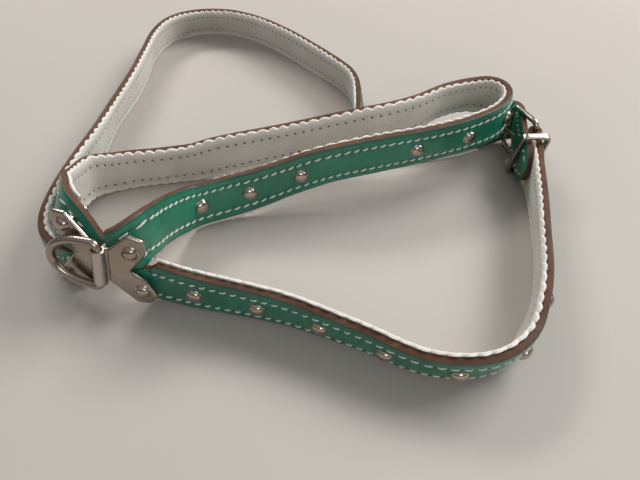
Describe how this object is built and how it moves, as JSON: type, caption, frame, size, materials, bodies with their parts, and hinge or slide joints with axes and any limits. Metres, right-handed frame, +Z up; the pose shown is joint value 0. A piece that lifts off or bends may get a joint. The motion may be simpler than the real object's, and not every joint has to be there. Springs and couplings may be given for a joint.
{
  "type": "studded leather dog harness",
  "caption": "Two-loop studded leather dog harness with a riveted metal junction plate, a swivelling D-ring and a prong buckle, lying open on a table.",
  "frame": {"origin": "middle of the footprint of the harness as it lies, at table level", "axes": "+X to the right along the neck loop, towards the buckle; +Y away from the junction plate, along the girth loop; +Z up from the table"},
  "size_m": [0.2008, 0.2488, 0.0382],
  "materials": {
    "green_leather": "satin",
    "cream_lining": "matte",
    "nickel": "polished"
  },
  "bodies": {
    "junction": {"junction_plate": "nickel", "plate_rivet_right_upper": "nickel", "plate_rivet_right_lower": "nickel", "plate_rivet_left_upper": "nickel", "plate_rivet_left_lower": "nickel", "rivet_cap_right_upper": "nickel", "rivet_cap_right_lower": "nickel", "rivet_cap_left_upper": "nickel", "rivet_cap_left_lower": "nickel", "neck_strap_left_end": "green_leather", "neck_strap_right_end": "green_leather", "girth_tongue_strap_end": "green_leather", "girth_buckle_strap_end": "green_leather"},
    "d_ring_body": {"d_ring": "nickel"},
    "neck_loop": {"neck_strap_leather": "green_leather", "neck_strap_lining": "cream_lining", "neck_stud_1": "nickel", "neck_stud_2": "nickel", "neck_stud_3": "nickel", "neck_stud_4": "nickel", "neck_stud_5": "nickel", "neck_stud_6": "nickel"},
    "girth_loop": {"girth_tongue_strap_leather": "green_leather", "girth_tongue_strap_lining": "cream_lining", "girth_buckle_strap_leather": "green_leather", "girth_buckle_strap_lining": "cream_lining", "girth_stud_1": "nickel", "girth_stud_2": "nickel", "girth_stud_3": "nickel", "girth_stud_4": "nickel", "girth_stud_5": "nickel", "girth_stud_6": "nickel", "girth_stud_7": "nickel"},
    "buckle_frame_body": {"buckle_frame": "nickel"},
    "buckle_prong_body": {"buckle_prong": "nickel"},
    "keeper_body": {"buckle_keeper": "nickel"}
  },
  "joints": [
    {"name": "d_ring_swivel", "type": "hinge", "parent": "junction", "child": "d_ring_body", "pos_m": [-0.06719, -0.09087, 0.01953], "axis": [0.156, 0.1741, 0.9723], "range_deg": [0, 165]},
    {"name": "neck_loop_lift", "type": "hinge", "parent": "junction", "child": "neck_loop", "pos_m": [-0.07591, -0.07293, 0.0373], "axis": [0.995, 0, -0.0995], "range_deg": [0, 35]},
    {"name": "girth_loop_drop", "type": "hinge", "parent": "junction", "child": "girth_loop", "pos_m": [-0.08243, -0.08225, 0.00172], "axis": [0.9782, -0.1467, -0.1467], "range_deg": [-25, 0]},
    {"name": "buckle_frame_swing", "type": "hinge", "parent": "girth_loop", "child": "buckle_frame_body", "pos_m": [0.09725, -0.01136, 0.0119], "axis": [0, 0, 1], "range_deg": [0, 4]},
    {"name": "buckle_prong_swing", "type": "hinge", "parent": "buckle_frame_body", "child": "buckle_prong_body", "pos_m": [0.09725, -0.01136, 0.0106], "axis": [0, 0, 1], "range_deg": [0, 60]},
    {"name": "keeper_slide", "type": "slide", "parent": "girth_loop", "child": "keeper_body", "axis": [-0.08, -0.9968, 0], "range_m": [0, 0.0025]}
  ]
}
